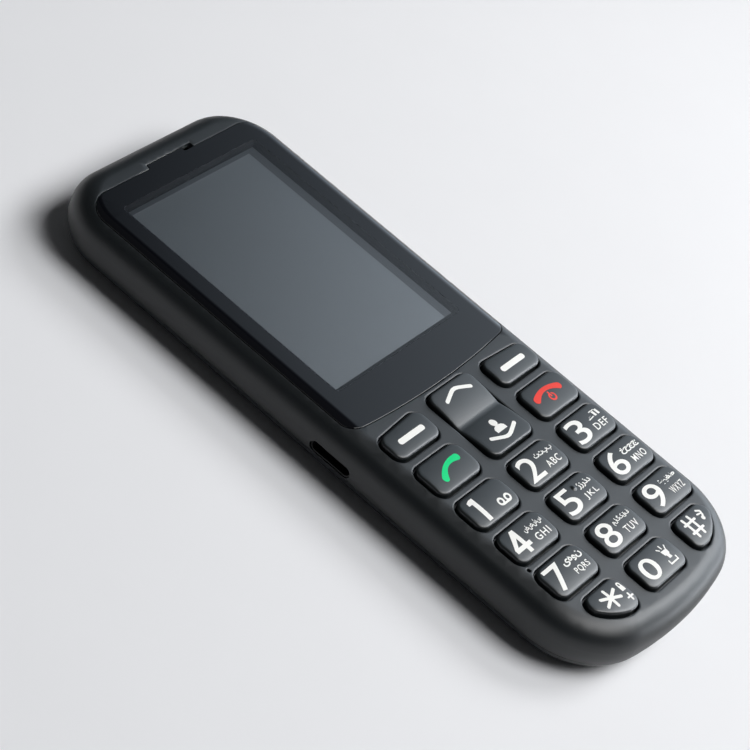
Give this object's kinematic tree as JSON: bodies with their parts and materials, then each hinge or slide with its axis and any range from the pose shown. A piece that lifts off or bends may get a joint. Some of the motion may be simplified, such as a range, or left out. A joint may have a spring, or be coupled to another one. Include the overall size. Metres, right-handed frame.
{
  "type": "feature phone",
  "caption": "Bar-shaped feature phone with large keys, a rounded charcoal plastic body, a colour display behind a black-bordered window and a slide-off battery cover.",
  "frame": {"origin": "under the middle of the back, where the phone lies on a surface", "axes": "+X to the right of the display, +Y towards the earpiece end, +Z out of the front face"},
  "size_m": [0.053, 0.128, 0.0131],
  "materials": {
    "charcoal_plastic": "matte, fine moulded texture",
    "key_plastic": "satin",
    "window": "polished clear acrylic with a black printed border",
    "display": "satin polariser, switched off",
    "black_tape": "matt tape",
    "foam": "soft foam",
    "white_plastic": "satin",
    "flex_film": "amber film",
    "steel": "bright",
    "mesh": "fine woven mesh",
    "circuit_board": "solder mask",
    "clear_film": "thin clear film",
    "silicone": "soft translucent grey",
    "black_plastic": "moulded",
    "battery": "wrapped cell",
    "tungsten": "sintered heavy metal",
    "copper": "stamped copper on a carrier",
    "clear_plastic": "clear moulded lens",
    "white_print": "printed legends",
    "green_print": "printed legend",
    "red_print": "printed legend"
  },
  "bodies": {
    "phone": {"front_housing": "charcoal_plastic", "rear_housing": "charcoal_plastic", "display_window": "window", "window_tape": "black_tape", "lcd_gasket": "foam", "lcd_panel": "display", "lcd_frame": "white_plastic", "lcd_flex": "flex_film", "earpiece": "steel", "earpiece_mesh": "mesh", "main_board": "circuit_board", "dome_sheet": "clear_film", "metal_domes": "steel", "keypad_mat": "silicone", "shield_can": "steel", "sim_holder": "steel", "usb_socket": "steel", "battery_contacts": "black_plastic", "battery_pack": "battery", "loudspeaker": "steel", "speaker_mesh": "mesh", "vibrator_motor": "steel", "microphone": "steel", "antenna": "copper", "torch_led": "white_plastic", "torch_lens": "clear_plastic", "housing_screws": "steel"},
    "soft_key_left": {"soft_key_left": "key_plastic"},
    "soft_key_right": {"soft_key_right": "key_plastic"},
    "nav_key": {"nav_key": "key_plastic"},
    "call_key": {"call_key": "key_plastic"},
    "end_key": {"end_key": "key_plastic"},
    "key_1": {"key_1": "key_plastic"},
    "key_2": {"key_2": "key_plastic"},
    "key_3": {"key_3": "key_plastic"},
    "key_4": {"key_4": "key_plastic"},
    "key_5": {"key_5": "key_plastic"},
    "key_6": {"key_6": "key_plastic"},
    "key_7": {"key_7": "key_plastic"},
    "key_8": {"key_8": "key_plastic"},
    "key_9": {"key_9": "key_plastic"},
    "star_key": {"star_key": "key_plastic"},
    "key_0": {"key_0": "key_plastic"},
    "hash_key": {"hash_key": "key_plastic"},
    "battery_cover": {"battery_cover": "charcoal_plastic"},
    "vibrator_weight": {"vibrator_weight": "tungsten"}
  },
  "joints": [
    {"name": "soft_key_left_press", "type": "slide", "parent": "phone", "child": "soft_key_left", "axis": [0, 0, -1], "range_m": [0, 0.0004], "stiffness_N_per_m": 400, "springref_m": -0.0002},
    {"name": "soft_key_right_press", "type": "slide", "parent": "phone", "child": "soft_key_right", "axis": [0, 0, -1], "range_m": [0, 0.0004], "stiffness_N_per_m": 400, "springref_m": -0.0002},
    {"name": "nav_key_rock", "type": "hinge", "parent": "phone", "child": "nav_key", "pos_m": [0, -0.01535, 0.00955], "axis": [1, 0, 0], "range_deg": [-2.5, 2.5], "stiffness_Nm_per_rad": 0.05},
    {"name": "call_key_press", "type": "slide", "parent": "phone", "child": "call_key", "axis": [0, 0, -1], "range_m": [0, 0.0004], "stiffness_N_per_m": 400, "springref_m": -0.0002},
    {"name": "end_key_press", "type": "slide", "parent": "phone", "child": "end_key", "axis": [0, 0, -1], "range_m": [0, 0.0004], "stiffness_N_per_m": 400, "springref_m": -0.0002},
    {"name": "key_1_press", "type": "slide", "parent": "phone", "child": "key_1", "axis": [0, 0, -1], "range_m": [0, 0.0004], "stiffness_N_per_m": 400, "springref_m": -0.0002},
    {"name": "key_2_press", "type": "slide", "parent": "phone", "child": "key_2", "axis": [0, 0, -1], "range_m": [0, 0.0004], "stiffness_N_per_m": 400, "springref_m": -0.0002},
    {"name": "key_3_press", "type": "slide", "parent": "phone", "child": "key_3", "axis": [0, 0, -1], "range_m": [0, 0.0004], "stiffness_N_per_m": 400, "springref_m": -0.0002},
    {"name": "key_4_press", "type": "slide", "parent": "phone", "child": "key_4", "axis": [0, 0, -1], "range_m": [0, 0.0004], "stiffness_N_per_m": 400, "springref_m": -0.0002},
    {"name": "key_5_press", "type": "slide", "parent": "phone", "child": "key_5", "axis": [0, 0, -1], "range_m": [0, 0.0004], "stiffness_N_per_m": 400, "springref_m": -0.0002},
    {"name": "key_6_press", "type": "slide", "parent": "phone", "child": "key_6", "axis": [0, 0, -1], "range_m": [0, 0.0004], "stiffness_N_per_m": 400, "springref_m": -0.0002},
    {"name": "key_7_press", "type": "slide", "parent": "phone", "child": "key_7", "axis": [0, 0, -1], "range_m": [0, 0.0004], "stiffness_N_per_m": 400, "springref_m": -0.0002},
    {"name": "key_8_press", "type": "slide", "parent": "phone", "child": "key_8", "axis": [0, 0, -1], "range_m": [0, 0.0004], "stiffness_N_per_m": 400, "springref_m": -0.0002},
    {"name": "key_9_press", "type": "slide", "parent": "phone", "child": "key_9", "axis": [0, 0, -1], "range_m": [0, 0.0004], "stiffness_N_per_m": 400, "springref_m": -0.0002},
    {"name": "star_key_press", "type": "slide", "parent": "phone", "child": "star_key", "axis": [0, 0, -1], "range_m": [0, 0.0004], "stiffness_N_per_m": 400, "springref_m": -0.0002},
    {"name": "key_0_press", "type": "slide", "parent": "phone", "child": "key_0", "axis": [0, 0, -1], "range_m": [0, 0.0004], "stiffness_N_per_m": 400, "springref_m": -0.0002},
    {"name": "hash_key_press", "type": "slide", "parent": "phone", "child": "hash_key", "axis": [0, 0, -1], "range_m": [0, 0.0004], "stiffness_N_per_m": 400, "springref_m": -0.0002},
    {"name": "battery_cover_slide", "type": "slide", "parent": "phone", "child": "battery_cover", "axis": [0, -1, 0], "range_m": [0, 0.095]},
    {"name": "vibrator_weight_spin", "type": "hinge", "parent": "phone", "child": "vibrator_weight", "pos_m": [-0.012, 0.045, 0.0041], "axis": [1, 0, 0], "continuous": true}
  ]
}
